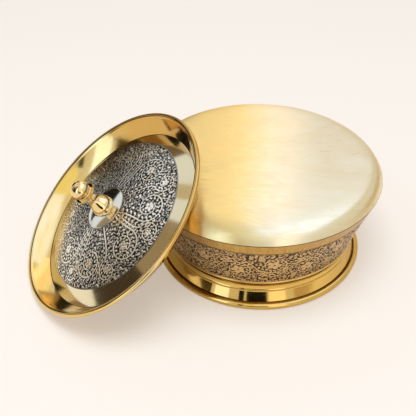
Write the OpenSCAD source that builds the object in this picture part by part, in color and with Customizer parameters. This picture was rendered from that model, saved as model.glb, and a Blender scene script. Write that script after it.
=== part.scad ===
// Round brass paan box, standing upside down on its mouth, with its lid leaning on it.
// The origin is the centre of the mouth, on the surface that the box stands on.
// Heights of the box are measured up from that surface, as it stands.

/* [Mouth collar] */
// Outer radius of the rolled edge round the mouth
mouth_r = 75; // [70:0.5:82]
// Radius of the rolled edge's round section
mouth_roll_r = 2.6; // [2.2:0.1:3.2]
// Depth of the flat that is ground on the rolled edge, so that it stands true
mouth_flat = 0.15; // [0.05:0.05:0.4]
// Height of the crease between the flare and the cove
crease_h = 12.2; // [9:0.1:15]
// Radius at the crease
crease_r = 67.9; // [66.5:0.1:69]
// Depth of the cove below a straight line
cove_depth = 0.9; // [0.3:0.1:1.2]
// Height of the lip that ends the collar
collar_h = 21.4; // [18:0.1:26]
// Radius of that lip
collar_r = 69.9; // [69.6:0.1:72]

/* [Body wall] */
// Radius where the wall meets the collar
wall_foot_r = 69.5; // [69:0.1:69.8]
// Height of the seam between wall and bottom
seam_h = 65.4; // [55:0.1:90]
// Radius at the seam
seam_r = 85.1; // [78:0.1:92]
// How far the wall is drawn in at its middle
wall_bow = 0.6; // [0:0.05:1]
// Height of the scribed line between the engraved and the plain band
band_line_h = 56.1; // [35:0.1:60]
// Depth of that line
band_line_depth = 0.2; // [0.1:0.05:0.4]
// Sheet thickness of the box
box_sheet = 1; // [0.8:0.1:1.4]

/* [Bottom] */
// Height of the rounded shoulder above the seam
shoulder_rise = 9; // [5:0.5:14]
// Sharpness of the shoulder: a higher power makes it narrower
shoulder_power = 20; // [8:1:30]
// Height of the low crown above the shoulder
crown_rise = 2.5; // [1:0.25:6]

/* [Joining strips] */
// Thickness of the soldered strips behind the two seams
strip_t = 0.8; // [0.5:0.1:1.2]
// Width of a strip to each side of its seam
strip_w = 5; // [3:0.5:7]

/* [Lid] */
// Radius of the ridge of the lid's rolled lip
lid_r = 77.3; // [72:0.1:84]
// Radius of the rolled lip's round section
lid_roll_r = 1.7; // [1.5:0.1:2.2]
// Radius of the trough, where flange and ring meet
trough_r = 67.6; // [64:0.1:70]
// Depth of the trough below the ridge of the lip
trough_depth = 11.9; // [9:0.1:16]
// Radius of the engraved field
field_r = 57.4; // [50:0.1:60]
// Depth of the field's edge below the ridge of the lip
field_depth = 6.2; // [4:0.1:8]
// Radius of the plain disc in the centre
disc_r = 15.8; // [12:0.1:22]
// Height of the disc's edge above the ridge of the lip
disc_rise = 1.8; // [0:0.1:3]
// Height of the disc's own crown
disc_crown = 1.6; // [0.4:0.1:2]
// Sheet thickness of the lid
lid_sheet = 1; // [0.8:0.1:1.2]

/* [Knob] */
// Radius of the foot
foot_r = 7.6; // [6:0.1:10]
// Thickness of the foot's straight edge
foot_edge = 0.8; // [0.4:0.1:1.5]
// Width of the flat ring of the disc round the foot
seat_rim = 0.6; // [0.3:0.1:1.5]
// Radius of the neck
neck_r = 4; // [3.2:0.1:5]
// Height of the neck above the foot
neck_h = 12.2; // [10:0.1:16]
// Radius of the thin collar below the ball
knob_collar_r = 7.9; // [6.6:0.1:9]
// Height of that collar's lower edge above the foot
knob_collar_h = 17.4; // [16.5:0.1:19]
// Thickness of the collar's edge
knob_collar_t = 1; // [0.5:0.1:1.5]
// Radius of the ball
ball_r = 6.5; // [5:0.1:7.5]
// Height of the ball's centre above the foot
ball_h = 22.4; // [21.5:0.1:25]

/* [Knob fixing] */
// Radius of the screw's shank
screw_r = 2; // [1.5:0.1:2.4]
// Length of the shank that reaches into the knob
screw_grip = 9; // [6:0.5:12]
// Depth of the knob's hole past the screw's tip
tip_gap = 1; // [0.5:0.1:2]
// Radius of the screw's head
screw_head_r = 3.8; // [3:0.1:4.5]
// Height of the screw's head
screw_head_h = 2.2; // [1.6:0.1:3]
// Width of the screwdriver slot
slot_w = 1; // [0.6:0.1:1.4]
// Depth of the screwdriver slot
slot_depth = 1.1; // [0.6:0.1:1.4]
// Radius of the washer
washer_r = 6; // [5:0.1:7]
// Thickness of the washer
washer_t = 0.8; // [0.5:0.1:1.2]

/* [Leaning lid] */
// Lean of the lid's axis from the upright
lid_lean = 39.7; // [25:0.1:55]
// Compass angle that the lid's knob side faces, from +X towards +Y
lid_facing = 203.5; // [195:0.1:215]
// Compass angle from the middle of the box to the middle of the lid
lid_bearing = 200.2; // [190:0.1:210]

/* [Clearances] */
// Clearance between a wire and the sheet rolled round it, and round the screw
fit_gap = 0.05; // [0.02:0.01:0.1]
// Clearance between the leaning lid and the box
lean_gap = 0.35; // [0.2:0.05:0.6]
// Clearance between the lid's lowest point and the surface
floor_gap = 0.1; // [0.05:0.05:0.3]

/* [Hidden] */
$fn = 96;

brass = [0.85, 0.65, 0.25];
satin_brass = [0.87, 0.75, 0.45];
silver_grey = [0.66, 0.62, 0.55];
wire_brass = [0.7, 0.52, 0.22];
steel = [0.6, 0.6, 0.62];

// Steps along one curve, such as the shoulder or a roll, and along a shallow one
curve_steps = 24;
shallow_steps = 8;
// How much closer the steps lie towards the seam, where the shoulder is sharpest
shoulder_crowding = 2.2;
// How far a cutting shape reaches past the face that it cuts
overcut = 1;

// Angles round the wire of the mouth: where the flare's outer and inner face meet the roll,
// and where the roll ends
mouth_roll_start = 121;
mouth_roll_inside = 141;
mouth_roll_end = 102;
// Where the lid's roll ends
lid_roll_end = -135;

mouth_roll_centre = [mouth_r - mouth_roll_r, mouth_roll_r - mouth_flat];
mouth_wire_r = mouth_roll_r - box_sheet;
lid_roll_centre = [lid_r, -lid_roll_r];
lid_wire_r = lid_roll_r - lid_sheet;

// The shank hole in the lid, the washer and the knob
shank_hole_r = screw_r + fit_gap;

// A point at an angle on a circle
function on_circle(centre, r, a) = centre + r * [cos(a), sin(a)];

// Points along an arc
function arc(centre, r, from, to, steps) =
    [for (i = [0:steps]) on_circle(centre, r, from + (to - from) * i / steps)];

// Points from one end to the other of a shallow bow that leaves the straight line by sag to its left
function bow(from, to, sag, steps) =
    let (along = to - from, left = [-along.y, along.x] / norm(along))
    [for (i = [0:steps]) let (t = i / steps) from + along * t + left * sag * 4 * t * (1 - t)];

// Unit vector to the left of the stretch that starts at one point of a path
function left_of_stretch(path, i) = let (d = path[i + 1] - path[i]) [-d.y, d.x] / norm(d);

// The path moved to its left by t, with its corners kept at the true distance
function shifted(path, t) = [for (i = [0:len(path) - 1])
    let (
        before = left_of_stretch(path, max(i - 1, 0)),
        after = left_of_stretch(path, min(i, len(path) - 2)),
        mean = (before + after) / norm(before + after)
    )
    path[i] + mean * t / (mean * before)];

function reversed(path) = [for (i = [len(path) - 1:-1:0]) path[i]];

// The point at a height on the line of one stretch of a path
function at_height(path, i, z) = path[i]
    + (path[i + 1] - path[i]) * (z - path[i].y) / (path[i + 1].y - path[i].y);

// Height of the bottom's outer face at a radius
function bottom_z(r) = let (s = r / seam_r)
    seam_h + shoulder_rise * (1 - pow(s, shoulder_power)) + crown_rise * (1 - s * s);

// The bottom's outer face from the seam to the centre, with close steps on the shoulder
bottom_path = [for (i = [0:curve_steps])
    let (r = seam_r * (1 - pow(i / curve_steps, shoulder_crowding))) [r, bottom_z(r)]];
bottom_shifted = shifted(bottom_path, box_sheet);
bottom_inside = concat([at_height(bottom_shifted, 0, seam_h)],
    [for (p = bottom_shifted) if (p.x > 0 && p.y > seam_h) p],
    [[0, bottom_z(0) - box_sheet]]);

// The wall's outer face from the collar up to the seam
wall_path = bow([wall_foot_r, collar_h], [seam_r, seam_h], wall_bow, shallow_steps);
wall_shifted = shifted(wall_path, box_sheet);
collar_inside_top = at_height(wall_shifted, 0, collar_h);
wall_top_inside = at_height(wall_shifted, shallow_steps - 1, seam_h);
wall_inside = concat([collar_inside_top], [for (i = [1:shallow_steps - 1]) wall_shifted[i]], [wall_top_inside]);

// The part of the wall's inner face that lies between two heights
function wall_inside_between(low, high) = [for (p = wall_inside) if (p.y > low && p.y < high) p];

// Radius of the wall's outer and inner face at a height
function wall_r(z) = lookup(z, [for (p = wall_path) [p.y, p.x]]);
function wall_inside_r(z) = lookup(z, [for (p = wall_inside) [p.y, p.x]]);

// The collar's outer face from the lip down to the crease
cove_path = bow([collar_r, collar_h], [crease_r, crease_h], -cove_depth, shallow_steps);
flare_foot = on_circle(mouth_roll_centre, mouth_wire_r, mouth_roll_start);
flare_lean = atan((flare_foot.x - crease_r) / (crease_h - flare_foot.y));
crease_inside = [crease_r - box_sheet / cos(flare_lean), crease_h];

// Inner face of the collar at a height between the crease and the lip
function collar_inside_r(z) = crease_inside.x
    + (collar_inside_top.x - crease_inside.x) * (z - crease_h) / (collar_h - crease_h);

// The upper face of the lid, from the hole in its centre to the lip; the ridge of the lip is at 0
flange_dir = let (d = lid_roll_centre - [trough_r, -trough_depth]) d / norm(d);
flange_end = lid_roll_centre + lid_roll_r * [-flange_dir.y, flange_dir.x];
lid_top = disc_rise + disc_crown;
lid_seat_r = foot_r + seat_rim;

// Height of the disc and of the field at a radius
function disc_z(r) = disc_rise
    + disc_crown * (1 - pow((r - lid_seat_r) / (disc_r - lid_seat_r), 2));
function field_z(r) = disc_rise
    - (disc_rise + field_depth) * (r * r - disc_r * disc_r) / (field_r * field_r - disc_r * disc_r);
lid_path = concat(
    [[shank_hole_r, lid_top]],
    [for (i = [0:shallow_steps]) let (r = lid_seat_r + (disc_r - lid_seat_r) * i / shallow_steps)
        [r, disc_z(r)]],
    [for (i = [1:shallow_steps]) let (r = disc_r + (field_r - disc_r) * i / shallow_steps) [r, field_z(r)]],
    [[trough_r, -trough_depth], flange_end]);
lid_back = shifted(lid_path, -lid_sheet);

// The lid's place: the point of its axis level with the ridge of its lip
lid_axis = [sin(lid_lean) * cos(lid_facing), sin(lid_lean) * sin(lid_facing), cos(lid_lean)];
trough_back = lid_back[len(lid_back) - 2];
lid_centre_h = floor_gap + max(
    trough_back.x * sin(lid_lean) - trough_back.y * cos(lid_lean),
    lid_roll_centre.x * sin(lid_lean) - lid_roll_centre.y * cos(lid_lean) + lid_roll_r);

// Depth of the lid's back face at a radius, and no obstacle beyond the lip
lid_edge_r = lid_r + lid_roll_r;
function lid_back_z(r) = r > lid_edge_r ? 1000 : lookup(r, concat([[0, lid_back[0].y]],
    lid_back, [[lid_edge_r, -lid_roll_r * 2]]));

// Least gap, along the lid's axis, between the lid's back and the seam and shoulder of the box,
// where the middle of the lid is a given distance from the middle of the box
function lean_clearance(reach) =
    let (centre = [reach * cos(lid_bearing), reach * sin(lid_bearing), lid_centre_h])
    min([for (i = [0:16], a = [-80:2:80])
        let (
            rim = bottom_path[i],
            p = [rim.x * cos(lid_bearing + a), rim.x * sin(lid_bearing + a), rim.y] - centre,
            up = p * lid_axis,
            r = sqrt(max(p * p - up * up, 0))
        )
        r > lid_edge_r ? 1000 : lid_back_z(r) - up]);

// The reach at which the lid just leans on the box, by halving
function solve_reach(near, far, steps) = steps == 0 ? far
    : let (middle = (near + far) / 2)
    lean_clearance(middle) < lean_gap
    ? solve_reach(middle, far, steps - 1)
    : solve_reach(near, middle, steps - 1);
lid_reach = solve_reach(seam_r, seam_r + 2 * lid_r, 20);
lid_centre = [lid_reach * cos(lid_bearing), lid_reach * sin(lid_bearing), lid_centre_h];

// Puts a piece of the lid where the lid leans
module leaning() {
    translate(lid_centre) rotate([0, lid_lean, lid_facing]) children();
}

// A ring or a cup turned from its section
module turned(section) {
    rotate_extrude() polygon(section);
}

// A round wire bent to a ring
module wire_ring(centre, r) {
    rotate_extrude() translate(centre) circle(r);
}

// Polished collar: lip, cove, crease and flare, with its edge rolled round a wire
module mouth_collar() {
    flat_r = mouth_roll_r - mouth_flat;
    flat_half = acos(flat_r / mouth_roll_r);
    color(brass)
    turned(concat(
        cove_path,
        arc(mouth_roll_centre, mouth_wire_r, mouth_roll_start, 360 + mouth_roll_end, curve_steps),
        arc(mouth_roll_centre, mouth_roll_r, 360 + mouth_roll_end, 270 + flat_half, curve_steps),
        arc(mouth_roll_centre, mouth_roll_r, 270 - flat_half, mouth_roll_inside, curve_steps),
        [crease_inside, collar_inside_top]));
}

// Wire inside the rolled edge of the mouth
module mouth_wire() {
    color(wire_brass)
    wire_ring(mouth_roll_centre, mouth_wire_r - fit_gap);
}

// A soldered strip whose outer face follows a path
module strip(path) {
    color(wire_brass)
    turned(concat(path, reversed([for (p = path) [p.x - strip_t, p.y]])));
}

// Strip soldered behind the joint between collar and wall
module neck_strip() {
    low = collar_h - strip_w;
    high = collar_h + strip_w;
    strip(concat(
        [[collar_inside_r(low), low], collar_inside_top],
        [for (p = wall_inside_between(collar_h, high)) [p.x - fit_gap, p.y]],
        [[wall_inside_r(high) - fit_gap, high]]));
}

// Tapering wall, with a scribed line between the engraved band and the plain band
module body_wall() {
    color(brass)
    difference() {
        turned(concat(wall_path, reversed(wall_inside)));
        turned([
            [wall_r(band_line_h) - band_line_depth, band_line_h],
            [wall_r(band_line_h) + overcut, band_line_h - overcut],
            [wall_r(band_line_h) + overcut, band_line_h + overcut]]);
    }
}

// Strip soldered behind the seam between wall and bottom
module seam_strip() {
    low = seam_h - strip_w;
    high = seam_h - fit_gap;
    strip(concat(
        [[wall_inside_r(low) - fit_gap, low]],
        [for (p = wall_inside_between(low, high)) [p.x - fit_gap, p.y]],
        [[wall_top_inside.x - fit_gap, high]]));
}

// Bulging bottom with a rounded shoulder
module bottom() {
    color(satin_brass)
    turned(concat(bottom_path, reversed(bottom_inside)));
}

// Lid pan: disc, engraved field, ring, trough and flange, with its lip rolled round a wire
module lid_pan() {
    start = atan2(flange_dir.x, -flange_dir.y);
    color(silver_grey)
    leaning()
    turned(concat(
        lid_path,
        arc(lid_roll_centre, lid_roll_r, start, lid_roll_end, curve_steps),
        arc(lid_roll_centre, lid_wire_r, lid_roll_end, start, curve_steps),
        reversed([for (i = [1:len(lid_back) - 2]) lid_back[i]]),
        [[shank_hole_r, lid_top - lid_sheet]]));
}

// Wire inside the lid's rolled lip
module lid_wire() {
    color(wire_brass)
    leaning()
    wire_ring(lid_roll_centre, lid_wire_r - fit_gap);
}

// Turned knob: bell foot, waisted neck, thin collar and ball, with a tapped hole from below
module knob() {
    bell = [for (i = [0:shallow_steps]) let (t = i / shallow_steps)
        [neck_r + (foot_r - neck_r) * (1 + cos(180 * t)) / 2, foot_edge + (neck_h - foot_edge) * t]];
    flare = [for (i = [1:shallow_steps]) let (t = i / shallow_steps)
        [neck_r + (knob_collar_r - neck_r) * (1 - cos(90 * t)), neck_h + (knob_collar_h - neck_h) * t]];
    seat_h = knob_collar_h + knob_collar_t;
    seat_angle = asin(max(seat_h - ball_h, -ball_r) / ball_r);
    color(brass)
    leaning()
    translate([0, 0, lid_top])
    difference() {
        turned(concat(
            [[0, 0], [foot_r, 0]],
            bell,
            flare,
            [[knob_collar_r, seat_h]],
            arc([0, ball_h], ball_r, seat_angle, 90, curve_steps)));
        translate([0, 0, -overcut]) cylinder(r = shank_hole_r, h = screw_grip + tip_gap + overcut);
    }
}

// Washer under the lid
module knob_washer() {
    color(brass)
    leaning()
    translate([0, 0, lid_top - lid_sheet - washer_t])
    difference() {
        cylinder(r = washer_r, h = washer_t);
        translate([0, 0, -overcut]) cylinder(r = shank_hole_r, h = washer_t + 2 * overcut);
    }
}

// Slotted screw from below, through washer and lid into the knob
module knob_screw() {
    under_washer = lid_top - lid_sheet - washer_t;
    color(steel)
    leaning()
    difference() {
        union() {
            translate([0, 0, under_washer - screw_head_h]) cylinder(r = screw_head_r, h = screw_head_h);
            translate([0, 0, under_washer - screw_head_h / 2])
            cylinder(r = screw_r, h = screw_head_h / 2 + washer_t + lid_sheet + screw_grip);
        }
        translate([-slot_w / 2, -screw_head_r - overcut, under_washer - screw_head_h - overcut])
        cube([slot_w, 2 * (screw_head_r + overcut), slot_depth + overcut]);
    }
}

mouth_collar();
mouth_wire();
neck_strip();
body_wall();
seam_strip();
bottom();
lid_pan();
lid_wire();
knob();
knob_screw();
knob_washer();
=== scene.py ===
"""Round brass paan box, standing upside down on its mouth, with its knobbed lid leaning on it."""

import math

import bpy
import numpy as np
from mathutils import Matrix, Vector


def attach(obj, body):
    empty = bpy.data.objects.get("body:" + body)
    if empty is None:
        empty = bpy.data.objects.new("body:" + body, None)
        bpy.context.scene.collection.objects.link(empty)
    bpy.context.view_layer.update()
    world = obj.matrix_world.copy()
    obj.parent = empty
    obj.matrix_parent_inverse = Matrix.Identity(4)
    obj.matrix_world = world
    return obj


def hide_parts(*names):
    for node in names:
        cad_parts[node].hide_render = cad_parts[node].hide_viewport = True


bl_info = {
    "name": "Brass Paan Box",
    "version": (1, 0, 0),
    "blender": (4, 5, 0),
    "location": "View3D > Sidebar > Paan Box",
    "description": "Dresses an engraved brass paan box and its leaning lid",
    "category": "Object",
}

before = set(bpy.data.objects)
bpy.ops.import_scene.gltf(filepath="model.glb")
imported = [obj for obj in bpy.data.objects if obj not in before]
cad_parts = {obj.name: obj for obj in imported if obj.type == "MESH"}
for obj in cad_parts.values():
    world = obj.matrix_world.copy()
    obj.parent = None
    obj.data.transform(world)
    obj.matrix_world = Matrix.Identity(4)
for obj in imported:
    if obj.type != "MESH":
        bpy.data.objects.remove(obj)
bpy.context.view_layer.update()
MM = 0.001


# Profiles: lists of (radius, height) points in metres, which are carried round the axis

def smooth_corners(corners, fillets, step, closed=True):
    """Points along a line through the corners. A corner with a fillet becomes an arc of that radius,
    drawn in turns of at most 15 degrees. A stretch longer than the step is divided evenly, and one
    that leaves an arc gets a close point first, so that the rounding stays out of the flat."""
    corners = np.asarray(corners, float)
    fillets = np.broadcast_to(np.asarray(fillets, float), (len(corners),))
    count = len(corners)
    pieces = []
    for i in range(count):
        point, radius = corners[i], fillets[i]
        inner = closed or 0 < i < count - 1
        if radius <= 0 or not inner:
            pieces.append((point[None], False))
            continue
        to_last = corners[i - 1] - point
        to_next = corners[(i + 1) % count] - point
        room = 0.45 * min(np.linalg.norm(to_last), np.linalg.norm(to_next))
        to_last, to_next = to_last / np.linalg.norm(to_last), to_next / np.linalg.norm(to_next)
        opening = math.acos(float(np.clip(to_last @ to_next, -1, 1)))
        if math.pi - opening < 0.03:
            pieces.append((point[None], False))
            continue
        reach = min(radius / math.tan(opening / 2), room)
        radius = reach * math.tan(opening / 2)
        centre = point + (to_last + to_next) / np.linalg.norm(to_last + to_next) * radius / math.sin(opening / 2)
        first, last = point + to_last * reach - centre, point + to_next * reach - centre
        turn = math.pi - opening
        t = np.linspace(0, 1, max(3, math.ceil(turn / math.radians(15)) + 1))[:, None]
        arc = (np.sin((1 - t) * turn) * first + np.sin(t * turn) * last) / math.sin(turn) if turn < 3.1 \
            else first * (1 - t) + last * t
        pieces.append((centre + arc, True))
    out = []
    for i, (points, arced) in enumerate(pieces):
        out.append(points)
        if i == count - 1 and not closed:
            break
        following, next_arced = pieces[(i + 1) % count]
        start, end = points[-1], following[0]
        length = np.linalg.norm(end - start)
        stops = []
        guard = 0.15 * MM
        if arced and length > 4 * guard:
            stops.append(guard / length)
        if length > step:
            stops.extend(np.arange(1, math.ceil(length / step)) / math.ceil(length / step))
        if next_arced and length > 4 * guard:
            stops.append(1 - guard / length)
        stops = np.unique(np.round(stops, 6))
        if len(stops):
            out.append(start + (end - start) * stops[:, None])
    return np.concatenate(out)


def offset_path(path, distance):
    """The path moved to its left: each point goes along the normal of the chord between its neighbours."""
    tangent = np.gradient(path, axis=0)
    tangent /= np.linalg.norm(tangent, axis=1)[:, None]
    return path + distance * np.stack([-tangent[:, 1], tangent[:, 0]], axis=1)


def arc_points(centre, radius, start, end, count):
    """Points on a circle in the profile's plane, from one angle in degrees to another."""
    angle = np.radians(np.linspace(start, end, count))
    return np.asarray(centre) + radius * np.stack([np.cos(angle), np.sin(angle)], axis=1)


# Surfaces

def turned(name, profile, steps, place=None, height=None, values=None, capped=False, sharp=()):
    """A closed surface of revolution. The point of the profile with radius r and height z goes to
    (r cos t, r sin t, z) for t from 0 to a whole turn. A profile that is capped starts and ends on
    the axis, and its two poles are single points. height, an array over profile and turn, moves
    each point along the profile's own normal. The UV map holds the turn and the way along the
    profile, from 0 to 1. values are arrays that fill attributes, by name. The rings through the
    points of the profile that sharp lists get sharp edges."""
    profile = np.asarray(profile, float)
    closing = np.roll(profile, -1, axis=0)
    area = float(np.sum(profile[:, 0] * closing[:, 1] - closing[:, 0] * profile[:, 1]))
    count = len(profile)
    turn = 2 * np.pi * np.arange(steps) / steps
    ahead, behind = np.roll(profile, -1, axis=0), np.roll(profile, 1, axis=0)
    if capped:
        ahead[-1], behind[0] = profile[-1], profile[0]
    along = ahead - behind
    along /= np.maximum(np.linalg.norm(along, axis=1), 1e-12)[:, None]
    normal = np.stack([along[:, 1], -along[:, 0]], axis=1) * np.sign(area)
    radius, level = profile[:, 0][:, None], profile[:, 1][:, None]
    if height is not None:
        radius = radius + height * normal[:, 0][:, None]
        level = level + height * normal[:, 1][:, None]
    radius = np.broadcast_to(radius, (count, steps))
    level = np.broadcast_to(level, (count, steps))
    points = np.stack([radius * np.cos(turn), radius * np.sin(turn), level], axis=2)
    row, column = np.meshgrid(np.arange(count), np.arange(steps), indexing="ij")
    length = np.concatenate([[0], np.cumsum(np.linalg.norm(np.diff(
        np.vstack([profile, profile[:1]]), axis=0), axis=1))])
    if capped:
        points = points[1:-1].reshape(-1, 3)
        poles = np.array([[0, 0, profile[0, 1]], [0, 0, profile[-1, 1]]])
        points = np.vstack([points, poles])
        row, column = row[:count - 3], column[:count - 3]
    else:
        points = points.reshape(-1, 3)
    rows = count - 2 if capped else count
    after = (column + 1) % steps
    below = (row + 1) if capped else (row + 1) % count
    quads = np.stack([row * steps + column, row * steps + after, below * steps + after,
                      below * steps + column], axis=2).reshape(-1, 4)
    shift = 1 if capped else 0
    u0, u1 = column / steps, (column + 1) / steps
    v0, v1 = length[row + shift] / length[-1], length[row + shift + 1] / length[-1]
    uv = np.stack([np.stack([u0, v0], 2), np.stack([u1, v0], 2), np.stack([u1, v1], 2),
                   np.stack([u0, v1], 2)], axis=2).reshape(-1, 4, 2)
    if area < 0:
        quads, uv = quads[:, ::-1], uv[:, ::-1]
    loops, totals, coords = quads.ravel(), np.full(len(quads), 4), uv.reshape(-1, 2)
    if capped:
        ring = np.arange(steps)
        on = (ring + 1) % steps
        last = (rows - 1) * steps
        first_cap = np.stack([np.full(steps, rows * steps), on, ring], axis=1)
        last_cap = np.stack([np.full(steps, rows * steps + 1), last + ring, last + on], axis=1)
        ends = length[[1, count - 2]] / length[-1]
        first_uv = np.stack([np.stack([(ring + 0.5) / steps, 0 * ring], 1),
                             np.stack([(ring + 1) / steps, 0 * ring + ends[0]], 1),
                             np.stack([ring / steps, 0 * ring + ends[0]], 1)], axis=1)
        last_uv = np.stack([np.stack([(ring + 0.5) / steps, 0 * ring + 1], 1),
                            np.stack([ring / steps, 0 * ring + ends[1]], 1),
                            np.stack([(ring + 1) / steps, 0 * ring + ends[1]], 1)], axis=1)
        if area < 0:
            first_cap, last_cap = first_cap[:, ::-1], last_cap[:, ::-1]
            first_uv, last_uv = first_uv[:, ::-1], last_uv[:, ::-1]
        loops = np.concatenate([loops, first_cap.ravel(), last_cap.ravel()])
        totals = np.concatenate([totals, np.full(2 * steps, 3)])
        coords = np.concatenate([coords, first_uv.reshape(-1, 2), last_uv.reshape(-1, 2)])
    if place is not None:
        points = points @ np.array(place[0]).T + np.array(place[1])
    obj = surface(name, points, loops, totals, coords, values)
    if sharp:
        mesh = obj.data
        ends = np.empty(2 * len(mesh.edges), np.int32)
        mesh.edges.foreach_get("vertices", ends)
        ring = ends.reshape(-1, 2) // steps
        mesh.attributes.new("sharp_edge", "BOOLEAN", "EDGE")
        mesh.attributes["sharp_edge"].data.foreach_set(
            "value", (ring[:, 0] == ring[:, 1]) & np.isin(ring[:, 0], sharp))
    return obj


def surface(name, points, loops, totals, uv, values=None):
    """A smooth-shaded mesh object from whole arrays: points, the corners of its faces in a row, the
    number of corners of each face, the UV of each corner and named values for each point."""
    mesh = bpy.data.meshes.new(name)
    mesh.vertices.add(len(points))
    mesh.vertices.foreach_set("co", np.ascontiguousarray(points, np.float32).ravel())
    mesh.loops.add(len(loops))
    mesh.loops.foreach_set("vertex_index", loops.astype(np.int32))
    mesh.polygons.add(len(totals))
    mesh.polygons.foreach_set("loop_start", np.concatenate([[0], np.cumsum(totals)[:-1]]).astype(np.int32))
    mesh.update(calc_edges=True)
    mesh.uv_layers.new(name="turned")
    mesh.uv_layers["turned"].uv.foreach_set("vector", uv.astype(np.float32).ravel())
    for title, value in (values or {}).items():
        mesh.attributes.new(title, "FLOAT", "POINT")
        mesh.attributes[title].data.foreach_set("value", value.astype(np.float32).ravel())
    mesh.polygons.foreach_set("use_smooth", np.ones(len(totals), bool))
    mesh.validate()
    obj = bpy.data.objects.new(name, mesh)
    bpy.context.scene.collection.objects.link(obj)
    return obj


# Engraving: a raster whose cells hold how deep a point lies inside the raised ornament, in mm

class Plate:
    """A raster of depths in mm. A disc raises each cell to its radius less the distance to its
    centre, if that is more than what is there. across is the width that the pattern repeats in."""

    cell = 0.2
    far = -1.3

    def __init__(self, low, high, across=None):
        self.low = np.array(low, float)
        self.across = across
        self.shape = np.ceil((np.array(high) - self.low) / self.cell).astype(int) + 1
        self.pitch = np.full(2, self.cell)
        if across:
            self.shape[0] = round(across / self.cell)
            self.pitch[0] = across / self.shape[0]
        self.depth = np.full(tuple(self.shape), self.far)

    def draw(self, centres, radii):
        """Many discs, in classes of like radius, one offset of their window at a time."""
        centres = np.asarray(centres, float).reshape(-1, 2)
        radii = np.broadcast_to(np.asarray(radii, float).ravel(), (len(centres),))
        flat = self.depth.ravel()
        for low, high in ((0, 0.35), (0.35, 0.8), (0.8, 1.6), (1.6, 6)):
            chosen = (radii >= low) & (radii < high)
            if not chosen.any():
                continue
            at, size = (centres[chosen] - self.low) / self.pitch, radii[chosen]
            base = np.round(at).astype(int)
            reach = math.ceil((size.max() - self.far) / self.cell)
            window = np.arange(-reach, reach + 1)
            across, up = np.meshgrid(window, window, indexing="ij")
            near = np.hypot(across, up) <= reach
            for i, j in zip(across[near], up[near]):
                column, line = base[:, 0] + i, base[:, 1] + j
                away = np.hypot((column - at[:, 0]) * self.pitch[0], (line - at[:, 1]) * self.pitch[1])
                inside = (line >= 0) & (line < self.shape[1])
                if self.across:
                    column = column % self.shape[0]
                else:
                    inside &= (column >= 0) & (column < self.shape[0])
                np.maximum.at(flat, column[inside] * self.shape[1] + line[inside], (size - away)[inside])
        self.depth = flat.reshape(tuple(self.shape))

    def stamp(self, centres, radii):
        """One small motif: its discs over the window round it."""
        low = np.floor((centres.min(0) - self.low + self.far - radii.max()) / self.pitch).astype(int)
        high = np.ceil((centres.max(0) - self.low - self.far + radii.max()) / self.pitch).astype(int)
        i, j = np.arange(low[0], high[0] + 1), np.arange(max(low[1], 0), min(high[1], self.shape[1] - 1) + 1)
        x, y = self.low[0] + i * self.pitch[0], self.low[1] + j * self.pitch[1]
        away = np.hypot(x[None, :, None] - centres[:, 0, None, None], y[None, None, :] - centres[:, 1, None, None])
        made = (radii[:, None, None] - away).max(0)
        rows = i % self.shape[0] if self.across else np.clip(i, 0, self.shape[0] - 1)
        self.depth[rows[:, None], j] = np.maximum(self.depth[rows[:, None], j], made)

    def read(self, u, v):
        """The depth at points, by bilinear interpolation."""
        x = (np.asarray(u) - self.low[0]) / self.pitch[0]
        y = np.clip((np.asarray(v) - self.low[1]) / self.pitch[1], 0, self.shape[1] - 1.001)
        x = x % self.shape[0] if self.across else np.clip(x, 0, self.shape[0] - 1.001)
        i, j = np.floor(x).astype(int), np.floor(y).astype(int)
        a, b = x - i, y - j
        following = (i + 1) % self.shape[0]
        d = self.depth
        return ((d[i, j] * (1 - b) + d[i, j + 1] * b) * (1 - a)
                + (d[following, j] * (1 - b) + d[following, j + 1] * b) * a)


def curls(base, heading, length, width, bend, swell=1.6, count=14):
    """Discs of many curls at once. A curl leaves its base thin, turns by bend on its way, and ends in
    a round head: its half width grows as the way to the power swell."""
    t = np.linspace(0, 1, count)[None]
    base = np.asarray(base, float).reshape(-1, 1, 2)
    heading, length, bend, width = (np.broadcast_to(np.asarray(a, float).reshape(-1, 1), (len(base), 1))
                                    for a in (heading, length, bend, width))
    way = heading + bend * t ** 1.4
    step = length / (count - 1)
    x = np.cumsum(np.cos(way) * step, axis=1) - np.cos(way[:, :1]) * step
    y = np.cumsum(np.sin(way) * step, axis=1) - np.sin(way[:, :1]) * step
    half = 0.14 + (width - 0.14) * t ** swell
    return base + np.stack([x, y], axis=2), half


def petals(centre, radius, number, turn):
    """Discs of a flower: petals that are round at their tips and nearly meet at the button."""
    heading = turn + 2 * np.pi * np.arange(number) / number
    base = np.asarray(centre) + radius * 0.22 * np.stack([np.cos(heading), np.sin(heading)], axis=1)
    points, half = curls(base, heading, radius * 0.5, radius * math.sin(np.pi / number) * 0.62, 0.0, 0.7, 8)
    return points.reshape(-1, 2), half.ravel()


def spiral(centre, start_radius, end_radius, start_angle, turns, count=200):
    """Points of a scroll whose radius shrinks evenly with the angle."""
    t = np.linspace(0, 1, count)
    radius = start_radius + (end_radius - start_radius) * t
    angle = start_angle + 2 * np.pi * turns * t
    return np.asarray(centre) + radius[:, None] * np.stack([np.cos(angle), np.sin(angle)], axis=1)


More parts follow.
